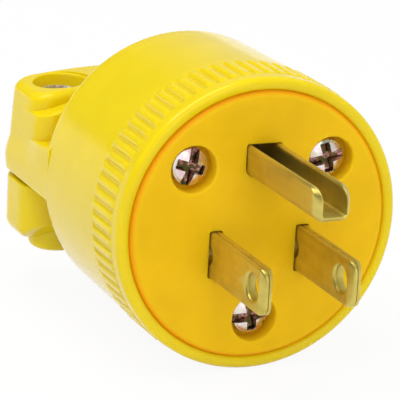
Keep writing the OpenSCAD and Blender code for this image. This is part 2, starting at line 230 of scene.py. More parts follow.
def turned_upright(profile, count):
    """Surface of revolution about the Z axis: (r, z) at angle a goes to (r cos a, r sin a, z)."""
    angle = np.linspace(0, 2 * math.pi, count, endpoint=False)[None, :]
    radius, height = profile[:, :1], profile[:, 1:]
    return np.stack([radius * np.cos(angle), radius * np.sin(angle), height + 0 * angle], -1)


def placed(points, origin, x_axis, z_axis):
    """Points turned so that their X and Z axes lie along the two given ones, then moved to origin."""
    x_axis, z_axis = np.asarray(x_axis, float), np.asarray(z_axis, float)
    return points @ np.stack([x_axis, np.cross(z_axis, x_axis), z_axis]) + np.asarray(origin, float)


# Meshes and objects

def surface(points, wrap_rows=False, wrap_columns=True):
    """Quads between neighbouring points of a grid; a wrapped direction joins its end to its start."""
    rows, columns = points.shape[:2]
    index = np.arange(rows * columns).reshape(rows, columns)
    if wrap_rows:
        index = np.vstack([index, index[:1]])
    if wrap_columns:
        index = np.hstack([index, index[:, :1]])
    quads = np.stack([index[:-1, :-1], index[1:, :-1], index[1:, 1:], index[:-1, 1:]], -1)
    return points.reshape(-1, 3), quads.reshape(-1, 4)


def joined(*sheets):
    """One list of points and quads from several closed surfaces."""
    starts = np.cumsum([0] + [len(points) for points, _ in sheets[:-1]])
    points = np.concatenate([points for points, _ in sheets])
    quads = np.concatenate([quads + start for (_, quads), start in zip(sheets, starts)])
    return points, quads


def welded(points, quads):
    """Joins points that coincide to a tenth of a micrometre.

    A quad with one collapsed edge becomes a triangle. Gives the kept points, the quads, the triangles,
    and each kept point's place in the first list."""
    steps_per_mm = 1e4
    keys = np.round(points * steps_per_mm).astype(np.int64)
    _, first, merged = np.unique(keys, axis=0, return_index=True, return_inverse=True)
    quads = merged.reshape(-1)[quads]
    collapsed = quads == np.roll(quads, -1, axis=1)
    number = collapsed.sum(1)
    thin = quads[number == 1]
    corners = (collapsed[number == 1].argmax(1)[:, None] + np.array([1, 2, 3])) % 4
    return points[first], quads[number == 0], np.take_along_axis(thin, corners, 1), first


def enclosed_volume(points, triangles):
    """Sum over triangles of the six-fold volume that each spans with the origin."""
    a, b, c = (points[triangles[:, i]] for i in range(3))
    return np.einsum("ij,ij->", a, np.cross(b, c))


def add_object(name, points, quads, drive=None):
    """Puts a surface in millimetres into the scene as a closed mesh in metres with its faces outward.

    Where a mask of a screw's drive is given, it becomes the mesh's drive attribute."""
    points, quads, triangles, kept = welded(points, quads)
    halves = np.concatenate([quads[:, [0, 1, 2]], quads[:, [0, 2, 3]], triangles])
    if enclosed_volume(points, halves) < 0:
        quads, triangles = quads[:, ::-1], triangles[:, ::-1]
    mesh = bpy.data.meshes.new(name)
    mesh.from_pydata((points * MM).tolist(), [], quads.tolist() + triangles.tolist())
    if drive is not None:
        mesh.attributes.new("drive", "FLOAT", "POINT").data.foreach_set("value", drive[kept])
    obj = bpy.data.objects.new(name, mesh)
    bpy.context.scene.collection.objects.link(obj)
    shade(obj)
    return obj


def shade(obj):
    """Smooth shading that breaks at sharp edges."""
    mesh = obj.data
    mesh.polygons.foreach_set("use_smooth", np.ones(len(mesh.polygons), bool))
    mesh.set_sharp_from_angle(angle=math.radians(SHARP_ANGLE))
    mesh.update()


def combine(obj, others, operation):
    """Joins other closed meshes to obj, or carves them out of it, and removes them."""
    for other in others:
        modifier = obj.modifiers.new(operation.lower(), "BOOLEAN")
        modifier.operation = operation
        modifier.solver = "EXACT"
        modifier.object = other
    evaluated = obj.evaluated_get(bpy.context.evaluated_depsgraph_get())
    mesh = bpy.data.meshes.new_from_object(evaluated)
    if not len(mesh.polygons):
        raise RuntimeError(f"{obj.name} came out empty")
    old = obj.data
    obj.modifiers.clear()
    obj.data = mesh
    mesh.name = obj.name
    bpy.data.meshes.remove(old)
    for other in others:
        spare = other.data
        bpy.data.objects.remove(other)
        bpy.data.meshes.remove(spare)
    shade(obj)


def dress(obj, material, slot, *nodes):
    """Gives a piece its material, and makes it stand for the CAD nodes it replaces by hiding them. The slot
    is not used.
    """
    obj.data.materials.clear()
    obj.data.materials.append(material)
    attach(obj, "root")
    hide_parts(*nodes)


# Shapes of the pieces

def body_surface(sizes):
    """Ribbed body: a closed profile of radius and Y, turned about the Y axis.

    The profile runs from the middle of the rear wall round the rear edge, along the tapered side,
    across the ribbed band, over the rounded rim, and through the mouth to the chamber's end.
    In the band the radius gains rib_height * (rib(angle) - 1/2) * band(y): rib is 1 on a rib and 0
    in a valley, and band fades in and out over a third of a millimetre at the band's two ends."""
    rim_drop, mouth_wall, seat_wall, chamber_wall = 0.05, 1.8, 2.0, 2.45
    rim_y, seat_y, rim_round, mouth_round, rear_round = 0.2, 1.15, 0.9, 0.8, 1.8
    band_start, band_end, band_margin, band_fade = 2.6, 9.4, 0.3, 0.35
    rib_flat, rib_foot = 0.17, 0.43
    front_r = sizes.body_radius / MM
    rear_r = front_r - sizes.body_taper / MM
    rim_r = front_r - rim_drop
    mouth_r, seat_r, chamber_r = rim_r - mouth_wall, rim_r - seat_wall, rim_r - chamber_wall
    rim_foot, mouth_foot, side_end = rim_y + rim_round, rim_y + mouth_round, BODY_LENGTH - rear_round
    before, behind = band_start - band_margin, band_end + band_margin
    spread = (1 - np.cos(np.linspace(0, math.pi, 22, endpoint=False)))[:, None] / 2
    profile = np.concatenate([
        line((0, BODY_LENGTH), (rear_r - rear_round, BODY_LENGTH), 5),
        arc((rear_r - rear_round, side_end), rear_round, 90, 0, 8),
        line((rear_r, side_end), (front_r, behind), 8),
        np.array([front_r, behind]) * (1 - spread) + np.array([rim_r, before]) * spread,
        line((rim_r, before), (rim_r, rim_foot), 3),
        arc((rim_r - rim_round, rim_foot), rim_round, 0, -90, 10),
        line((rim_r - rim_round, rim_y), (mouth_r + mouth_round, rim_y), 2),
        arc((mouth_r + mouth_round, mouth_foot), mouth_round, -90, -180, 8),
        line((mouth_r, mouth_foot), (seat_r, seat_y), 2),
        line((seat_r, seat_y), (seat_r, FACE_THICKNESS), 2),
        line((seat_r, FACE_THICKNESS), (chamber_r, FACE_THICKNESS), 1),
        line((chamber_r, FACE_THICKNESS), (chamber_r, CHAMBER_END), 2),
        line((chamber_r, CHAMBER_END), (0, CHAMBER_END), 3),
        [(0, CHAMBER_END)],
    ])
    across = np.array([-0.5, -0.42, -0.36, -0.31, -0.27, -0.2, 0, 0.2, 0.27, 0.31, 0.36, 0.42])
    rib = 1 - smooth_step(rib_flat, rib_foot, np.abs(across))
    count = sizes.rib_count
    angle = ((np.arange(count)[:, None] + across[None, :]) * 2 * math.pi / count).reshape(1, -1)
    radius, y = profile[:, :1], profile[:, 1:]
    fade_in = smooth_step(band_start, band_start + band_fade, y)
    fade_out = smooth_step(band_end - band_fade, band_end, y)
    band = fade_in * (1 - fade_out) * (radius > rim_r - band_margin)
    r = radius + sizes.rib_height / MM * (np.tile(rib, count)[None, :] - 0.5) * band
    return surface(np.stack([r * np.cos(angle), y + 0 * angle, r * np.sin(angle)], -1))


def cord_channel(start, end):
    """Tube along Y about the cord's axis, opening in a quarter round at both of its ends."""
    flare, margin = 0.7, 2.0
    wide = CORD_R + flare
    swing = np.radians(np.linspace(0, 80, 8))
    out = CORD_R + flare * (1 - np.cos(swing))
    along = flare * (1 - np.sin(swing))
    radius = np.concatenate([[0, wide, wide], out[::-1], out, [wide, wide, 0]])
    height = np.concatenate([
        [start - margin, start - margin, start - HAIR], start + along[::-1],
        end - along, [end + HAIR, end + margin, end + margin],
    ])
    return surface(turned(np.stack([radius, height], -1), 96) + np.array([0, 0, CORD_Z]))


def arm_surface(rear_r):
    """Wide arm: stacked rounded rectangles whose half width at height z is the body's own, sqrt(R^2 - z^2).

    The top falls towards the rear by ARM_SLOPE; a point drops by that times its share of the height.
    Behind the body the upper sides draw in by up to 3% of the half width."""
    front, rear_corner, low_round, high_round = 27.6, 3.9, 0.7, 0.25
    draw_in, draw_foot, draw_start, draw_end = 0.03, -1.5, 31.0, 39.0
    heights, insets = edge_profile(ARM_LOW, ARM_HIGH, low_round, high_round)
    half = np.sqrt((rear_r + HAIR) ** 2 - heights ** 2)
    flat = rounded_rectangle((-half, front), (half, CLAMP_BACK), HAIR, rear_corner, insets, side=24)
    flat, level = capped(flat, heights, 12)
    share = (level - ARM_LOW) / (ARM_HIGH - ARM_LOW)
    behind = smooth_step(draw_start, draw_end, flat[..., 1])
    flat[..., 0] *= 1 - draw_in * smooth_step(draw_foot, ARM_HIGH, level) * behind
    return surface(rise(flat, level - share * ARM_SLOPE * (flat[..., 1] - ARM_MIDDLE)))


def drafted(heights):
    """Draw-in of the block's sides: 6% of the height above the arm, starting 0.2 mm outside."""
    draft, proud = 0.06, 0.2
    return draft * np.clip(heights - ARM_HIGH, 0, None) - proud


def roofed(flat, level):
    """Points whose heights stretch so that a level top becomes a roof.

    The roof lies at STEP_TOP at the block's ends, climbs by STEP_RISE towards the middle and stays level
    over its flat middle. A point's height above the foot grows by the roof's height over the ends'."""
    climb = np.clip((CLAMP_HALF - np.abs(flat[..., 0])) / (CLAMP_HALF - STEP_FLAT), 0, 1)
    roof = STEP_TOP + STEP_RISE * climb
    return rise(flat, BLOCK_FOOT + (level - BLOCK_FOOT) * (roof - BLOCK_FOOT) / (STEP_TOP - BLOCK_FOOT))


def step_surface():
    """Step below the block's front: stacked rounded rectangles under a roof."""
    heights, insets = edge_profile(BLOCK_FOOT, STEP_TOP, FOOT_ROUND, STEP_ROUND)
    low, high = (-CLAMP_HALF, STEP_FRONT), (CLAMP_HALF, CLAMP_Y)
    insets = insets + drafted(heights)
    flat = rounded_rectangle(low, high, FRONT_CORNER, HIDDEN_CORNER, insets, corner=14, side=24)
    return surface(roofed(*capped(flat, heights, 20)))


def web_surface():
    """Web between the step and the rear wall: stacked rounded rectangles under the step's roof."""
    front = 28.0
    heights, insets = edge_profile(BLOCK_FOOT, STEP_TOP, FOOT_ROUND, STEP_ROUND)
    low, high = (-WEB_HALF, front), (WEB_HALF, CLAMP_Y)
    flat = rounded_rectangle(low, high, HIDDEN_CORNER, HIDDEN_CORNER, insets, side=24)
    return surface(roofed(*capped(flat, heights, 16)))


def block_surface():
    """Screw block: stacked rounded rectangles that draw in with height, under a crowned top.

    At x the crown lies x^2 / (2 R) below its middle; a point drops by that times its share of the
    block's height."""
    top_round = 1.2
    heights, insets = edge_profile(BLOCK_FOOT, BLOCK_TOP, FOOT_ROUND, top_round, 9)
    low, high = (-CLAMP_HALF, CLAMP_FRONT), (CLAMP_HALF, CLAMP_BACK)
    insets = insets + drafted(heights)
    flat = rounded_rectangle(low, high, FRONT_CORNER, REAR_CORNER, insets, corner=14, side=24)
    flat, level = capped(flat, heights, 20)
    drop = flat[..., 0] ** 2 / (2 * BLOCK_CROWN)
    return surface(rise(flat, level - drop * (level - BLOCK_FOOT) / (BLOCK_TOP - BLOCK_FOOT)))


def round_recess(radius, floor, top, lip, flare=0.0):
    """Pocket about the Z axis: flat floor, rounded inner corner, wall, and a quarter round at its mouth.

    The wall's foot is narrower than its mouth by the flare."""
    corner, above, foot = 0.35, 1.0, radius - flare
    swing = np.radians(np.linspace(0, 80, 7))
    mouth = np.stack([radius + lip * (1 - np.cos(swing)), top - lip + lip * np.sin(swing)], -1)
    profile = np.concatenate([
        [(0, floor)],
        arc((foot - corner, floor + corner), corner, -90, 0, 6),
        [(foot, floor + corner)],
        mouth,
        [(radius + lip, top + HAIR), (radius + lip, top + above), (0, top + above)],
    ])
    return turned_upright(profile, 72)


def jaw_surface():
    """Loose jaw: stacked rounded rectangles with a large round at the lower edge.

    The underside is raised towards the front: its height is at least a plane's that climbs 3.2 mm
    over 4.2 mm, blended in by the smooth maximum (a + b + sqrt((a - b)^2 + k^2)) / 2. The raise fades
    out below the jaw's top."""
    slope_length, slope_climb, blend, fade_top, fade_foot = 4.2, 3.2, 0.3, 0.5, 3.0
    proud, front_corner, rear_corner, low_round, high_round = 0.45, 4.4, 4.2, 2.0, 0.3
    half = CLAMP_HALF + proud
    heights, insets = edge_profile(JAW_LOW, JAW_HIGH, low_round, high_round, 9)
    flat = rounded_rectangle(
        (-half, CLAMP_FRONT), (half, CLAMP_BACK), front_corner, rear_corner, insets, side=16
    )
    flat, level = capped(flat, heights, 24)
    plane = JAW_LOW + slope_climb / slope_length * (CLAMP_FRONT + slope_length - flat[..., 1])
    raised = (level + plane + np.sqrt((level - plane) ** 2 + blend ** 2)) / 2
    fade = smooth_step(JAW_HIGH - fade_top, JAW_HIGH - fade_foot, level)
    return surface(rise(flat, level + (raised - level) * fade))


def boss_surface(side):
    """Round boss about a clamp screw: a profile with a rounded lower edge, turned about the Z axis."""
    r, edge, sunk = 3.9, 1.0, 2.0
    top = JAW_HIGH - sunk
    profile = np.concatenate([
        line((0, BOSS_LOW), (r - edge, BOSS_LOW), 4),
        arc((r - edge, BOSS_LOW + edge), edge, -90, 0, 8),
        line((r, BOSS_LOW + edge), (r, top), 8),
        line((r, top), (0, top), 3),
        [(0, top)],
    ])
    return surface(turned_upright(profile, 72) + clamp_spot(side))


def clamp_spot(side):
    """Axis of the clamp screw on one side, in millimetres."""
    return np.array([side * CLAMP_X, CLAMP_Y, 0])


def nut_pocket(side):
    """Six-sided pocket for a nut: a profile turned about the Z axis in six steps."""
    clearance, below = 0.2, 1.0
    r = NUT_FLATS / 2 / math.cos(math.radians(30)) + clearance
    profile = np.array([(0, BOSS_LOW - below), (r, BOSS_LOW - below), (r, NUT_SEAT), (0, NUT_SEAT)])
    return surface(turned_upright(profile, 6) + clamp_spot(side))


def cover_surface():
    """Front plate: a disc with a rounded front edge, turned about the Y axis."""
    r, edge = 18.75, 1.1
    profile = np.concatenate([
        line((0, 0), (r - edge, 0), 28),
        arc((r - edge, edge), edge, -90, 0, 9),
        line((r, edge), (r, FACE_THICKNESS), 4),
        line((r, FACE_THICKNESS), (0, FACE_THICKNESS), 4),
        [(0, FACE_THICKNESS)],
    ])
    return surface(turned(profile, 216))


def slot_surface(low, high, low_r, high_r):
    """Slot through the front plate: a rounded rectangle in X and Z, its front mouth a quarter round."""
    lip, past = 0.12, 1.0
    swing = np.radians(np.linspace(80, 0, 7))
    heights = np.concatenate([[-past, -HAIR], lip * (1 - np.sin(swing)), [FACE_THICKNESS + past]])
    insets = np.concatenate([[-lip, -lip], -lip * (1 - np.cos(swing)), [0]])
    flat = rounded_rectangle(low, high, low_r, high_r, insets, corner=8, side=6)
    return surface(slice_along(*capped(flat, heights, 3)))


def face_screw_spots():
    """Places of the three face screws on their circle, in millimetres."""
    angles = np.radians(FACE_SCREW_ANGLES)
    return FACE_SCREW_CIRCLE * np.stack([np.cos(angles), 0 * angles, np.sin(angles)], -1)


def blade_surface(sizes, side):
    """Flat blade: one closed ring of grid rows that passes through its hole.

    Around the hole's centre at angle a, a row is either the hole's circle or the blade's outline at
    that angle. The rows go from the hole across one face, round the edge, where a fine seam marks the
    folded sheet, back across the other face and through the hole. The blade thins towards its tip."""
    length, width = sizes.blade_length / MM, sizes.blade_width / MM
    half = sizes.blade_thickness / MM / 2
    tail, tail_r, tip_r, hole_inset, bevel, tip_share = 18.5, 0.3, 1.7, 3.6, 1.3, 0.62
    centre = np.array([0.0, -length + hole_inset])
    angles = np.radians(np.arange(0, 360, 2.0) + 1.0)
    outer = np.array([
        (0.46, half), (0.25, half - 0.03), (0.11, half - 0.10), (0.03, half - 0.22), (0, half - 0.38),
        (0, 0.14), (0.05, 0.08), (0.16, 0.04),
    ])
    edge = np.concatenate([outer, outer[::-1] * (1, -1)])
    low, high = (-width / 2, -length), (width / 2, tail)
    outlines = rounded_rectangle(low, high, tip_r, tail_r, edge[:, 0], corner=40, side=400) - centre
    bearing = np.arctan2(outlines[..., 1], outlines[..., 0])
    reach = np.hypot(outlines[..., 0], outlines[..., 1])
    rows = np.stack([np.interp(angles, b, r, period=2 * math.pi) for b, r in zip(bearing, reach)])
    spread = np.linspace(0, 1, 9, endpoint=False)[1:, None]
    hole = np.array([(1.8, half - 0.5), (1.84, half - 0.28), (1.95, half - 0.1), (2.2, half)])
    to_edge = hole[-1, 0] * (1 - spread) + rows[:1] * spread
    rim = np.broadcast_to(hole[:, :1], (len(hole), len(angles)))
    radius = np.concatenate([rim, to_edge, rows, to_edge[::-1], rim[::-1]])
    flat_face = np.full(len(to_edge), half)
    offset = np.concatenate([hole[:, 1], flat_face, edge[:, 1], -flat_face, -hole[::-1, 1]])
    flat = centre + radius[..., None] * np.stack([np.cos(angles), np.sin(angles)], -1)
    taper = np.clip(tip_share + (1 - tip_share) * (flat[..., 1] + length) / bevel, tip_share, 1)
    x = side * BLADE_X + offset[:, None] * taper
    return surface(np.stack([x, flat[..., 1], flat[..., 0] + BLADE_Z], -1), wrap_rows=True)


def root_hole(side):
    """Hole across a blade's root: a cylinder along X whose middle lies just behind the face."""
    hole_r, reach, depth = 1.55, 1.5, 0.55
    angle = np.linspace(0, 2 * math.pi, 48, endpoint=False)[None, :]
    radius = np.array([0, hole_r, hole_r, 0])[:, None]
    along = np.array([-reach, -reach, reach, reach])[:, None]
    x = side * BLADE_X + along + 0 * angle
    return surface(np.stack([x, depth + radius * np.cos(angle), BLADE_Z + radius * np.sin(angle)], -1))


def pin_surface(sizes):
    """Ground pin: a sheet folded to a U with rounded lower corners, open at the top.

    One parameter follows the middle of the sheet from lip to lip: a wall, a quarter round, the floor
    and the same again mirrored. The other goes once round the sheet's own section: along the outer
    face, over the chamfered tip, back along the inner face. The lips close in half rounds. Above the
    round's foot the tip starts later, by a quarter ellipse 3 mm long."""
    length, sheet, corner_r, back = sizes.pin_length / MM, 0.8, 1.25, 8.6
    round_length, round_foot, count = 3.0, 9.5, 24
    half, bend = (PIN_WIDTH - sheet) / 2, corner_r - sheet / 2
    top, bend_z = PIN_HIGH - sheet / 2, PIN_LOW + corner_r
    lip = np.radians(np.linspace(90, 0, 6, endpoint=False))
    wall = np.linspace(top, bend_z, 14, endpoint=False)
    turn = np.radians(np.linspace(180, 270, 10, endpoint=False))
    floor = np.linspace(bend - half, 0, 5)
    up, down = len(lip) + len(wall), len(floor)
    x = np.concatenate([np.full(up, -half), bend - half + bend * np.cos(turn), floor])
    z = np.concatenate([
        top + sheet / 2 * np.sin(lip), wall, bend_z + bend * np.sin(turn), np.full(down, bend_z - bend)
    ])
    thick = np.concatenate([np.cos(lip), np.ones(len(x) - len(lip))])
    normal_x = np.concatenate([np.full(up, -1.0), np.cos(turn), np.zeros(down)])
    normal_z = np.concatenate([np.zeros(up), np.sin(turn), np.full(down, -1.0)])
    x, normal_x = (np.concatenate([v, -v[-2::-1]]) for v in (x, normal_x))
    z, thick, normal_z = (np.concatenate([v, v[-2::-1]]) for v in (z, thick, normal_z))
    tip = np.array([(0.9, 1), (0.12, -0.3), (0.02, -0.42), (0, -0.6), (0.05, -0.85), (0.2, -1)])
    run = np.linspace(1, 0, count, endpoint=False)
    along = np.concatenate([run, np.zeros(len(tip)), run[::-1]])
    start = np.concatenate([np.full(count, tip[0, 0]), tip[:, 0], np.full(count, tip[-1, 0])])
    side = np.concatenate([np.ones(count), tip[:, 1], -np.ones(count)])
    climb = np.clip((z - round_foot) / (PIN_HIGH - round_foot), 0, 1)
    first = -length + round_length * (1 - np.sqrt(1 - climb ** 2))
    y = (first[:, None] + start[None, :]) * (1 - along[None, :]) + back * along[None, :]
    offset = side[None, :] * thick[:, None] * sheet / 2
    x = x[:, None] + normal_x[:, None] * offset
    z = z[:, None] + normal_z[:, None] * offset
    return surface(np.stack([x, y, z], -1))


def screw_surface(shank_r, length, head_r, head_h):
    """Pan-head screw along +Z, its head's underside at the origin, turned about the Z axis.

    The crown's height falls with the square of the radius. Where the drive's mask is 1, heights drop to
    the drive's floor, which climbs with the square of the radius; the mask is a slot over the whole
    head or a shorter bar across it, with sloped walls. Gives the points and the mask."""
    slot, wall, reach = head_r * 0.19, head_r * 0.07, head_r * 0.74
    rim, edge, floor_low, floor_climb = head_h * 0.5, 0.25, 0.12, 0.3
    crown_r = np.linspace(0, head_r - edge, 48)
    crown_z = rim + edge + (head_h - rim - edge) * (1 - (crown_r / head_r) ** 2)
    shoulder = crown_z[-1] - edge
    profile = np.concatenate([
        np.stack([crown_r, crown_z], -1),
        arc((head_r - edge, shoulder), edge, 75, 0, 5),
        line((head_r, shoulder), (head_r, 0), 6),
        line((head_r, 0), (shank_r, 0), 3),
        line((shank_r, 0), (shank_r, -length), 4),
        line((shank_r, -length), (0, -length), 2),
        [(0, -length)],
    ])
    points = turned_upright(profile, 240)
    x, y = np.abs(points[..., 0]), np.abs(points[..., 1])
    floor = head_h * (floor_low + floor_climb * (x ** 2 + y ** 2) / head_r ** 2)
    long_bar = 1 - smooth_step(slot, slot + wall, y)
    cross_bar = (1 - smooth_step(slot, slot + wall, x)) * (1 - smooth_step(reach, reach + wall, y))
    deep = np.clip(points[..., 2] - floor, 0, None)
    mask = np.maximum(long_bar, cross_bar) * (deep > 0)
    points[..., 2] -= deep * mask
    return points, mask


# Shader nodes

def add_node(tree, kind, **values):
    """Adds a shader node and sets its named inputs and properties."""
    node = tree.nodes.new(kind)
    for key, value in values.items():
        if key in node.inputs:
            node.inputs[key].default_value = value
        else:
            setattr(node, key, value)
    return node


def calculated(tree, operation, first, second, clamp=False):
    """Result of a Math node on two values, each a socket or a number."""
    node = add_node(tree, "ShaderNodeMath", operation=operation, use_clamp=clamp)
    for socket, value in zip(node.inputs, (first, second)):
        if isinstance(value, bpy.types.NodeSocket):
            tree.links.new(value, socket)
        else:
            socket.default_value = value
    return node.outputs[0]


def remapped(tree, value, low, high, to_low, to_high):
    """A value moved from one range to another, kept inside the new range."""
    node = add_node(tree, "ShaderNodeMapRange", clamp=True)
    for label, number in (("From Min", low), ("From Max", high), ("To Min", to_low), ("To Max", to_high)):
        node.inputs[label].default_value = number
    tree.links.new(value, node.inputs["Value"])
    return node.outputs["Result"]


def mixed(tree, factor, first, second):
    """Colour mix of two sockets by a factor socket."""
    node = add_node(tree, "ShaderNodeMix", data_type="RGBA")
    tree.links.new(factor, node.inputs["Factor"])
    tree.links.new(first, node.inputs["A"])
    tree.links.new(second, node.inputs["B"])
    return node.outputs["Result"]


def ramped(tree, factor, stops):
    """Colours that follow a factor through the given stops."""
    ramp = tree.nodes.new("ShaderNodeValToRGB")
    elements = ramp.color_ramp.elements
    elements[0].position, elements[0].color = stops[0]
    elements[1].position, elements[1].color = stops[-1]
    for position, color in stops[1:-1]:
        elements.new(position).color = color
    tree.links.new(factor, ramp.inputs["Fac"])
    return ramp.outputs["Color"]


def noise_in(tree, scale, detail, stretch=(1, 1, 1)):
    """Noise over Object coordinates, stretched along the axes with small factors."""
    coordinates = tree.nodes.new("ShaderNodeTexCoord")
    mapping = add_node(tree, "ShaderNodeMapping", Scale=stretch)
    noise = add_node(tree, "ShaderNodeTexNoise", Scale=scale, Detail=detail)
    tree.links.new(coordinates.outputs["Object"], mapping.inputs["Vector"])
    tree.links.new(mapping.outputs["Vector"], noise.inputs["Vector"])
    return noise.outputs["Fac"]


def distance_from_axis(tree):
    """Distance of the surface from the Y axis, in metres."""
    coordinates = tree.nodes.new("ShaderNodeTexCoord")
    across = add_node(tree, "ShaderNodeVectorMath", operation="MULTIPLY")
    across.inputs[1].default_value = (1, 0, 1)
    reach = add_node(tree, "ShaderNodeVectorMath", operation="LENGTH")
    tree.links.new(coordinates.outputs["Object"], across.inputs[0])
    tree.links.new(across.outputs["Vector"], reach.inputs[0])
    return reach.outputs["Value"]


def seen_directly(tree):
    """Socket that is 1 for camera, glossy and transmission rays and 0 for the rest."""
    rays = tree.nodes.new("ShaderNodeLightPath").outputs
    first = calculated(tree, "ADD", rays["Is Camera Ray"], rays["Is Glossy Ray"])
    return calculated(tree, "ADD", first, rays["Is Transmission Ray"], clamp=True)


def finish_group(name, colors, values):
    """Starts a shader node group of a finish and returns its tree, its inputs and its outputs.

    It takes the named colours and values, and gives a colour, a roughness and a height."""
    tree = bpy.data.node_groups.new(name, "ShaderNodeTree")
    for label in colors:
        tree.interface.new_socket(label, in_out="INPUT", socket_type="NodeSocketColor")
    for label in values:
        tree.interface.new_socket(label, in_out="INPUT", socket_type="NodeSocketFloat")
    tree.interface.new_socket("Color", in_out="OUTPUT", socket_type="NodeSocketColor")
    for label in ("Roughness", "Height"):
        tree.interface.new_socket(label, in_out="OUTPUT", socket_type="NodeSocketFloat")
    start, end = tree.nodes.new("NodeGroupInput"), tree.nodes.new("NodeGroupOutput")
    return tree, start.outputs, end.inputs


def moulded_group(name):
    """Moulded vinyl: broad cloudy colour, fine orange peel and slightly uneven gloss.

    Past the groove shade radius, measured from the Y axis, the colour turns to the groove shade colour by the
    groove shade share. This is a painted shade: the orange of the shaded groove round the front plate."""
    groove_shade_width = 0.0005
    tree, given, result = finish_group(
        name, ("Color", "Cloud Color", "Groove Shade Color"), ("Gloss", "Groove Shade Radius", "Groove Shade Share")
    )
    cloud = remapped(tree, noise_in(tree, scale=140, detail=3), 0.35, 0.7, 0, 1)
    color = mixed(tree, cloud, given["Color"], given["Cloud Color"])
    # Painted shade: an orange band past a radius from the Y axis. It stands in for the shade in the groove
    # round the front plate.
    past = calculated(tree, "SUBTRACT", distance_from_axis(tree), given["Groove Shade Radius"])
    edge = calculated(tree, "MULTIPLY", remapped(tree, past, 0, groove_shade_width, 0, 1), given["Groove Shade Share"])
    tree.links.new(mixed(tree, edge, color, given["Groove Shade Color"]), result["Color"])
    uneven = remapped(tree, noise_in(tree, scale=420, detail=4), 0.3, 0.7, -0.03, 0.05)
    tree.links.new(calculated(tree, "ADD", given["Gloss"], uneven), result["Roughness"])
    tree.links.new(noise_in(tree, scale=2600, detail=2), result["Height"])
    return tree


def rolled_group(name):
    """Rolled metal: lengthwise streaks, patches of tarnish and streaked gloss."""
    tree, given, result = finish_group(name, ("Color", "Tarnish"), ("Gloss",))
    streaks = noise_in(tree, scale=900, detail=3, stretch=(1, 0.05, 1))
    patches = remapped(tree, noise_in(tree, scale=260, detail=5), 0.42, 0.75, 0, 0.75)
    streaked = remapped(tree, streaks, 0.3, 0.7, 0, 0.35)
    dull = calculated(tree, "ADD", patches, streaked, clamp=True)
    tree.links.new(mixed(tree, dull, given["Color"], given["Tarnish"]), result["Color"])
    uneven = remapped(tree, streaks, 0.3, 0.7, -0.06, 0.1)
    tree.links.new(calculated(tree, "ADD", given["Gloss"], uneven), result["Roughness"])
    tree.links.new(streaks, result["Height"])
    return tree


# Materials

# Vinyl lets light in: its share, how far red, green and blue go, and how far that is in metres
VINYL = {
    "IOR": 1.5,
    "Subsurface Weight": 0.5,
    "Subsurface Radius": (1.0, 0.9, 0.1),
    "Subsurface Scale": 0.0018,
}


def rgba(color, factor=1.0):
    """Property colour with full alpha, made darker or lighter by a factor."""
    return (*(min(channel * factor, 1) for channel in color), 1)


def new_material(name, shader_values):
    """New material whose Principled shader has the given constants; gives it with its tree and shader."""
    material = bpy.data.materials.new(name)
    material.use_nodes = True
    shader = material.node_tree.nodes["Principled BSDF"]
    for label, value in shader_values.items():
        shader.inputs[label].default_value = value
    return material, material.node_tree, shader


def grouped_material(name, group_name, maker, values, bump, shader_values):
    """Principled material whose colour, roughness and bump come from a shared group.

    The bump's two numbers are its strength and its height in metres."""
    made = bpy.data.materials.get(name)
    if made:
        return made
    material, tree, shader = new_material(name, shader_values)
    group = tree.nodes.new("ShaderNodeGroup")
    group.node_tree = bpy.data.node_groups.get(group_name) or maker(group_name)
    for label, value in values.items():
        group.inputs[label].default_value = value
    relief = add_node(tree, "ShaderNodeBump", Strength=bump[0], Distance=bump[1])
    tree.links.new(group.outputs["Color"], shader.inputs["Base Color"])
    tree.links.new(group.outputs["Roughness"], shader.inputs["Roughness"])
    tree.links.new(group.outputs["Height"], relief.inputs["Height"])
    tree.links.new(relief.outputs["Normal"], shader.inputs["Normal"])
    return material


def moulded(name, values, bump, shader_values):
    """Material of a moulded piece."""
    return grouped_material(name, "moulded grain", moulded_group, values, bump, shader_values)


def rolled(name, values, bump, metallic):
    """Material of a piece of rolled or plated metal."""
    return grouped_material(name, "rolled streaks", rolled_group, values, bump, {"Metallic": metallic})


def vinyl(finish):
    """Semi-gloss yellow vinyl of the body and the jaw."""
    colors = {"Color": rgba(finish.body_color), "Cloud Color": rgba(finish.body_color, 0.95)}
    return moulded(
        "moulded yellow vinyl", {**colors, "Gloss": finish.body_gloss}, (0.06, 0.0002),
        {**VINYL, "Specular IOR Level": 0.25},
    )


def face_vinyl(finish):
    """Deeper, more satin yellow of the front plate, with a painted orange shade on its rim where the groove
    to the body lies.
    """
    colors = {"Color": rgba(finish.face_color), "Cloud Color": rgba(finish.face_color, 0.92)}
    # Painted shade: orange on the plate's rounded rim, in place of the shade of the groove between plate and
    # body.
    edge = {"Groove Shade Color": (0.95, 0.38, 0.004, 1), "Groove Shade Radius": 0.0180, "Groove Shade Share": 1.0}
    return moulded(
        "satin yellow vinyl", {**colors, **edge, "Gloss": 0.45}, (0.12, 0.0002),
        {**VINYL, "Specular IOR Level": 0.1},
    )


def insulator():
    """Pale moulded insulator behind the front plate."""
    colors = {"Color": (0.78, 0.74, 0.6, 1), "Cloud Color": (0.7, 0.65, 0.5, 1)}
    return moulded("pale moulded insulator", {**colors, "Gloss": 0.5}, (0.1, 0.0002), {"IOR": 1.5})


def brass(finish):
    """Rolled brass of the blades, the ground pin and the brass screw."""
    colors = {"Color": rgba(finish.brass_color), "Tarnish": (0.50, 0.39, 0.07, 1)}
    return rolled("rolled brass", {**colors, "Gloss": 0.38}, (0.12, 0.0001), 0.94)


def green_plate():
    """Green-plated steel of the ground terminal screw."""
    colors = {"Color": (0.10, 0.36, 0.15, 1), "Tarnish": (0.05, 0.22, 0.09, 1)}
    return rolled("green plate", {**colors, "Gloss": 0.35}, (0.1, 0.0001), 1.0)


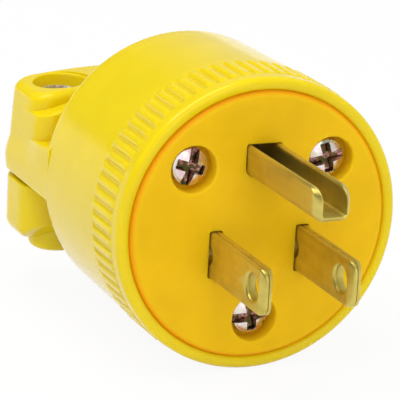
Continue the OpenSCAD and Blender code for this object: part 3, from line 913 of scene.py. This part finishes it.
def zinc(finish):
    """Passivated zinc: patches of silver, rose, straw and green over a bright metal.

    Inside a screw's drive the colour is painted shade: dark olive and brown for the drive's shaded depth,
    with rose patches of the zinc's own tint."""
    name = "zinc plate"
    made = bpy.data.materials.get(name)
    if made:
        return made
    material, tree, shader = new_material(name, {"Metallic": 1.0})
    silver = rgba(finish.zinc_color)
    color = ramped(tree, noise_in(tree, scale=520, detail=2), (
        (0.30, (0.30, 0.33, 0.20, 1)), (0.38, silver), (0.47, silver), (0.53, (0.84, 0.55, 0.62, 1)),
        (0.57, silver), (0.66, (0.80, 0.74, 0.56, 1)),
    ))
    # Painted shade of the screw drives: dark olive and brown where the deep drive lies in shade, with rose
    # patches of the zinc's own tint.
    recess = ramped(tree, noise_in(tree, scale=1300, detail=2), (
        (0.34, (0.06, 0.08, 0.02, 1)), (0.45, (0.12, 0.07, 0.03, 1)), (0.54, (0.20, 0.11, 0.06, 1)),
        (0.59, (0.75, 0.34, 0.36, 1)), (0.63, (0.16, 0.10, 0.06, 1)),
    ))
    drive = add_node(tree, "ShaderNodeAttribute", attribute_name="drive")
    inside = remapped(tree, drive.outputs["Fac"], 0.3, 0.7, 0, 1)
    uneven = remapped(tree, noise_in(tree, scale=1500, detail=3), 0.3, 0.7, 0.2, 0.38)
    tree.links.new(mixed(tree, inside, color, recess), shader.inputs["Base Color"])
    tree.links.new(uneven, shader.inputs["Roughness"])
    return material


# Properties

class PlugSizes(bpy.types.PropertyGroup):
    """Sizes of the dressed pieces."""

    body_radius: bpy.props.FloatProperty(
        name="Body radius", description="Radius of the body behind its ribs",
        default=0.0205, min=0.02, max=0.021, unit="LENGTH", precision=5,
    )
    body_taper: bpy.props.FloatProperty(
        name="Body taper", description="Drop of the radius towards the rear edge",
        default=0.0003, min=0.0001, max=0.0008, unit="LENGTH", precision=5,
    )
    rib_count: bpy.props.IntProperty(
        name="Ribs", description="Number of grip ribs", default=72, min=36, max=96
    )
    rib_height: bpy.props.FloatProperty(
        name="Rib height", description="Height of a rib above its valleys",
        default=0.00034, min=0.0002, max=0.0008, unit="LENGTH", precision=5,
    )
    blade_length: bpy.props.FloatProperty(
        name="Blade length", description="Length of a blade outside the face",
        default=0.017, min=0.0159, max=0.0183, unit="LENGTH", precision=5,
    )
    blade_width: bpy.props.FloatProperty(
        name="Blade width", description="Width of a blade",
        default=0.00635, min=0.006, max=0.0065, unit="LENGTH", precision=5,
    )
    blade_thickness: bpy.props.FloatProperty(
        name="Blade thickness", description="Thickness of a blade",
        default=0.00164, min=0.0014, max=0.00166, unit="LENGTH", precision=5,
    )
    pin_length: bpy.props.FloatProperty(
        name="Pin length", description="Length of the ground pin outside the face",
        default=0.0215, min=0.02, max=0.023, unit="LENGTH", precision=5,
    )


class PlugFinish(bpy.types.PropertyGroup):
    """Colours and gloss of the materials."""

    body_color: bpy.props.FloatVectorProperty(
        name="Body colour", description="Colour of the body's vinyl",
        default=(0.82, 0.63, 0.006), min=0, max=1, size=3, subtype="COLOR",
    )
    body_gloss: bpy.props.FloatProperty(
        name="Body roughness", description="Roughness of the body's vinyl",
        default=0.11, min=0, max=1, subtype="FACTOR",
    )
    face_color: bpy.props.FloatVectorProperty(
        name="Face colour", description="Colour of the front plate",
        default=(0.89, 0.55, 0.006), min=0, max=1, size=3, subtype="COLOR",
    )
    brass_color: bpy.props.FloatVectorProperty(
        name="Brass colour", description="Colour of the clean brass",
        default=(0.71, 0.59, 0.15), min=0, max=1, size=3, subtype="COLOR",
    )
    zinc_color: bpy.props.FloatVectorProperty(
        name="Zinc colour", description="Colour of the plated screws",
        default=(0.78, 0.77, 0.72), min=0, max=1, size=3, subtype="COLOR",
    )


class PlugStage(bpy.types.PropertyGroup):
    """Camera and light of the studio."""

    lens: bpy.props.FloatProperty(
        name="Lens", description="Focal length on a 36 mm sensor",
        default=234.0, min=20, max=500, unit="CAMERA",
    )
    floor_height: bpy.props.FloatProperty(
        name="Floor height", description="Height of the floor under the ribs",
        default=CAD_BOX[0][2], unit="LENGTH", precision=5,
    )
    key_power: bpy.props.FloatProperty(
        name="Key light", description="Power of the large light above",
        default=2.05, min=0, max=50, unit="POWER",
    )
    fill_power: bpy.props.FloatProperty(
        name="Fill light", description="Power of the light in front",
        default=1.08, min=0, max=50, unit="POWER",
    )
    ambient: bpy.props.FloatProperty(
        name="Ambient", description="Strength of the even light from all round",
        default=0.64, min=0, max=1, subtype="FACTOR",
    )
    ceiling: bpy.props.FloatProperty(
        name="Ceiling", description="Brightness of what gloss mirrors overhead",
        default=0.14, min=0, max=1, subtype="FACTOR",
    )


# Operators

class PLUG_OT_body(bpy.types.Operator):
    """Builds the ribbed body and its clamp arm"""

    bl_idname = "plug.body"
    bl_label = "Body and clamp arm"

    def execute(self, context):
        sizes, finish = context.scene.plug_sizes, context.scene.plug_finish
        recess_r, lip, flare, channel_start = 4.05, 0.3, 0.4, 24.0
        rear_r = (sizes.body_radius - sizes.body_taper) / MM
        body = add_object("body", *body_surface(sizes))
        sheets = (arm_surface(rear_r), step_surface(), web_surface(), block_surface())
        combine(body, [add_object("clamp_piece", *sheet) for sheet in sheets], "UNION")
        crown = BLOCK_TOP - CLAMP_X ** 2 / (2 * BLOCK_CROWN)
        recess = round_recess(recess_r, SCREW_SEAT, crown, lip, flare)
        cutters = [add_object("recess", *surface(recess + clamp_spot(side))) for side in (-1, 1)]
        cutters.append(add_object("cord_groove", *cord_channel(channel_start, CLAMP_BACK)))
        combine(body, cutters, "DIFFERENCE")
        dress(body, vinyl(finish), "body_vinyl", "shell")
        return {"FINISHED"}


class PLUG_OT_clamp_jaw(bpy.types.Operator):
    """Builds the loose lower jaw of the cord clamp"""

    bl_idname = "plug.clamp_jaw"
    bl_label = "Clamp jaw"

    def execute(self, context):
        overrun = 0.1
        jaw = add_object("clamp_jaw", *jaw_surface())
        combine(jaw, [add_object("boss", *boss_surface(side)) for side in (-1, 1)], "UNION")
        cutters = [add_object("nut_pocket", *nut_pocket(side)) for side in (-1, 1)]
        cutters.append(add_object("saddle", *cord_channel(CLAMP_FRONT - overrun, CLAMP_BACK + overrun)))
        combine(jaw, cutters, "DIFFERENCE")
        dress(jaw, vinyl(context.scene.plug_finish), "body_vinyl", "cord_clamp_jaw")
        return {"FINISHED"}


class PLUG_OT_face_cover(bpy.types.Operator):
    """Builds the round front plate with its slots and screw recesses"""

    bl_idname = "plug.face_cover"
    bl_label = "Front plate"

    def execute(self, context):
        half_w, half_h, slot_r = 0.94, 3.3, 0.3
        pin_half, gap, pin_low_r, pin_high_r = PIN_WIDTH / 2, 0.09, 1.4, 0.25
        recess_r, lip = 3.25, 0.35
        cover = add_object("front_plate", *cover_surface())
        cutters = []
        for middle in (-BLADE_X, BLADE_X):
            low, high = (middle - half_w, BLADE_Z - half_h), (middle + half_w, BLADE_Z + half_h)
            cutters.append(add_object("blade_slot", *slot_surface(low, high, slot_r, slot_r)))
        low, high = (-pin_half - gap, PIN_LOW - gap), (pin_half + gap, PIN_HIGH + gap)
        cutters.append(add_object("pin_slot", *slot_surface(low, high, pin_low_r, pin_high_r)))
        recess = round_recess(recess_r, -FACE_RECESS, 0, lip)
        for spot in face_screw_spots():
            cutters.append(add_object("recess", *surface(placed(recess, spot, (1, 0, 0), (0, -1, 0)))))
        combine(cover, cutters, "DIFFERENCE")
        dress(cover, face_vinyl(context.scene.plug_finish), "face_vinyl", "face_cover")
        return {"FINISHED"}


class PLUG_OT_blades(bpy.types.Operator):
    """Builds the two flat blades and the folded ground pin"""

    bl_idname = "plug.blades"
    bl_label = "Blades and ground pin"

    def execute(self, context):
        sizes, metal = context.scene.plug_sizes, brass(context.scene.plug_finish)
        for name, node, side in (("blade_line", "line_blade", 1), ("blade_neutral", "neutral_blade", -1)):
            blade = add_object(name, *blade_surface(sizes, side))
            combine(blade, [add_object("root_hole", *root_hole(side))], "DIFFERENCE")
            dress(blade, metal, "blade_brass", node)
        dress(add_object("pin", *pin_surface(sizes)), metal, "blade_brass", "ground_pin")
        return {"FINISHED"}


class PLUG_OT_screws(bpy.types.Operator):
    """Builds the face screws and the clamp screws"""

    bl_idname = "plug.screws"
    bl_label = "Screws"

    def execute(self, context):
        metal = zinc(context.scene.plug_finish)
        past_nut, clamp_turn = 2.6, math.radians(25)
        screw = screw_surface(shank_r=1.4, length=15.0, head_r=2.6, head_h=1.9)
        places = [
            (spot, (math.cos(turn), 0, math.sin(turn)), (0, -1, 0))
            for spot, turn in zip(face_screw_spots() + (0, FACE_RECESS, 0), np.radians(FACE_SCREW_TURNS))
        ]
        dress(self.add_set("face_screw_set", screw, places), metal, "screw_zinc", "face_screws")
        length = SCREW_SEAT - NUT_SEAT + past_nut
        screw = screw_surface(shank_r=1.75, length=length, head_r=3.5, head_h=2.2)
        cos, sin = math.cos(clamp_turn), math.sin(clamp_turn)
        places = [
            (clamp_spot(side) + (0, 0, SCREW_SEAT), (cos, side * sin, 0), (0, 0, 1)) for side in (-1, 1)
        ]
        dress(self.add_set("clamp_screw_set", screw, places), metal, "screw_zinc", "clamp_screws")
        return {"FINISHED"}

    def add_set(self, name, screw, places):
        """One piece with a copy of a screw at each place, which is an origin, an X axis and a Z axis."""
        points, drive = screw
        sheets = [surface(placed(points, *place)) for place in places]
        return add_object(name, *joined(*sheets), drive=np.tile(drive.reshape(-1), len(sheets)))


class PLUG_OT_inner_parts(bpy.types.Operator):
    """Gives the pieces that keep their CAD shape their materials"""

    bl_idname = "plug.inner_parts"
    bl_label = "Inner parts"

    def execute(self, context):
        finish = context.scene.plug_finish
        for node, material in (
            ("blade_retainer", insulator()),
            ("line_terminal_screw", brass(finish)),
            ("neutral_terminal_screw", zinc(finish)),
            ("ground_terminal_screw", green_plate()),
            ("clamp_nuts", zinc(finish)),
        ):
            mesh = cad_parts[node].data
            mesh.materials.clear()
            mesh.materials.append(material)
        return {"FINISHED"}


class PLUG_OT_stage(bpy.types.Operator):
    """Builds the floor, the lights, the white surroundings and the camera"""

    bl_idname = "plug.stage"
    bl_label = "Stage"

    def execute(self, context):
        scene, stage = context.scene, context.scene.plug_stage
        self.make_floor(scene, stage)
        self.make_world(scene, stage)
        self.add_light(scene, "key", KEY_PLACE, KEY_SIZE, stage.key_power)
        self.add_light(scene, "fill", FILL_PLACE, FILL_SIZE, stage.fill_power)
        camera = bpy.data.objects.new("camera", bpy.data.cameras.new("camera"))
        camera.data.sensor_width = SENSOR_WIDTH
        camera.data.lens = stage.lens
        camera.data.clip_start = NEAREST
        camera.matrix_world = self.placement(
            CAMERA_RIGHT, -np.array(CAMERA_DOWN), -np.array(CAMERA_AHEAD), CAMERA_PLACE
        )
        scene.collection.objects.link(camera)
        scene.camera = camera
        scene.view_settings.view_transform = "Standard"
        return {"FINISHED"}

    def placement(self, x_axis, y_axis, z_axis, place):
        """Matrix that turns an object's axes to the three given ones and moves it to its place."""
        return Matrix([*np.stack([x_axis, y_axis, z_axis, place], -1).tolist(), (0, 0, 0, 1)])

    def make_floor(self, scene, stage):
        """Pale floor: what the camera sees is mostly even white, and the rest carries the shadow."""
        spread = np.linspace(-FLOOR_HALF, FLOOR_HALF, 9)
        x, y = np.meshgrid(spread, spread, indexing="ij")
        level = np.full_like(x, stage.floor_height)
        points, quads = surface(np.stack([x, y, level], -1), wrap_columns=False)
        mesh = bpy.data.meshes.new("floor")
        mesh.from_pydata(points.tolist(), [], quads.tolist())
        floor = bpy.data.objects.new("floor", mesh)
        scene.collection.objects.link(floor)
        material, tree, shader = new_material(
            "floor", {"Base Color": (0.85, 0.85, 0.85, 1), "Roughness": 0.9, "Specular IOR Level": 0.0}
        )
        glow = add_node(tree, "ShaderNodeEmission", Color=(1, 1, 1, 1), Strength=1.0)
        mix = tree.nodes.new("ShaderNodeMixShader")
        tree.links.new(calculated(tree, "MULTIPLY", seen_directly(tree), FLOOR_WHITE), mix.inputs["Fac"])
        tree.links.new(shader.outputs[0], mix.inputs[1])
        tree.links.new(glow.outputs[0], mix.inputs[2])
        tree.links.new(mix.outputs[0], tree.nodes["Material Output"].inputs["Surface"])
        mesh.materials.append(material)

    def make_world(self, scene, stage):
        """White surroundings for the camera, and weaker even light for the rest.

        What a surface mirrors is white up to a little above the horizon, as the floor is, and dim above it,
        brighter towards the right."""
        horizon, above, right_end, right_brightness = 0.06, 0.14, 0.6, 0.75
        world = bpy.data.worlds.new("studio")
        world.use_nodes = True
        tree = world.node_tree
        even = tree.nodes["Background"]
        even.inputs["Color"].default_value = (1, 1, 1, 1)
        even.inputs["Strength"].default_value = stage.ambient
        white = add_node(tree, "ShaderNodeBackground", Color=(1, 1, 1, 1))
        coordinates = tree.nodes.new("ShaderNodeTexCoord")
        axes = tree.nodes.new("ShaderNodeSeparateXYZ")
        tree.links.new(coordinates.outputs["Generated"], axes.inputs[0])
        low = remapped(tree, axes.outputs["Z"], horizon, above, 1, 0)
        right = remapped(tree, axes.outputs["X"], 0, right_end, stage.ceiling, right_brightness)
        mirrored = calculated(tree, "MAXIMUM", low, right)
        path = tree.nodes.new("ShaderNodeLightPath")
        strength = calculated(tree, "MAXIMUM", path.outputs["Is Camera Ray"], mirrored)
        tree.links.new(strength, white.inputs["Strength"])
        mix = tree.nodes.new("ShaderNodeMixShader")
        tree.links.new(seen_directly(tree), mix.inputs["Fac"])
        tree.links.new(even.outputs[0], mix.inputs[1])
        tree.links.new(white.outputs[0], mix.inputs[2])
        tree.links.new(mix.outputs[0], tree.nodes["World Output"].inputs["Surface"])
        scene.world = world

    def add_light(self, scene, name, place, size, power):
        """Square area light that faces the plug's middle."""
        light = bpy.data.lights.new(name, "AREA")
        light.size = size
        light.energy = power
        lamp = bpy.data.objects.new(name, light)
        back = np.array(place) - np.array(LIGHT_TARGET)
        back = back / np.linalg.norm(back)
        side = np.cross((0, 1, 0), back)
        side /= np.linalg.norm(side)
        lamp.matrix_world = self.placement(side, np.cross(back, side), back, place)
        scene.collection.objects.link(lamp)


class PLUG_PT_panel(bpy.types.Panel):
    """Sidebar panel with the plug's sizes, finish, stage and pieces"""

    bl_idname = "PLUG_PT_panel"
    bl_label = "Power Plug"
    bl_space_type = "VIEW_3D"
    bl_region_type = "UI"
    bl_category = "Power Plug"

    def draw(self, context):
        for group in (context.scene.plug_sizes, context.scene.plug_finish, context.scene.plug_stage):
            box = self.layout.box()
            for key in group.__annotations__:
                box.prop(group, key)
        for operator in PIECES:
            self.layout.operator(operator.bl_idname)


PIECES = (
    PLUG_OT_stage, PLUG_OT_body, PLUG_OT_clamp_jaw, PLUG_OT_face_cover, PLUG_OT_blades, PLUG_OT_screws,
    PLUG_OT_inner_parts,
)
CLASSES = (PlugSizes, PlugFinish, PlugStage, *PIECES, PLUG_PT_panel)


def register():
    """Registers the classes and puts the property groups on the scene."""
    for cls in CLASSES:
        bpy.utils.register_class(cls)
    bpy.types.Scene.plug_sizes = bpy.props.PointerProperty(type=PlugSizes)
    bpy.types.Scene.plug_finish = bpy.props.PointerProperty(type=PlugFinish)
    bpy.types.Scene.plug_stage = bpy.props.PointerProperty(type=PlugStage)


def unregister():
    """Takes the property groups off the scene and unregisters the classes."""
    del bpy.types.Scene.plug_stage, bpy.types.Scene.plug_finish, bpy.types.Scene.plug_sizes
    for cls in reversed(CLASSES):
        bpy.utils.unregister_class(cls)


def main():
    register()
    bpy.ops.plug.stage()
    bpy.ops.plug.body()
    bpy.ops.plug.clamp_jaw()
    bpy.ops.plug.face_cover()
    bpy.ops.plug.blades()
    bpy.ops.plug.screws()
    bpy.ops.plug.inner_parts()
    bpy.context.view_layer.update()


if __name__ == "__main__":
    main()
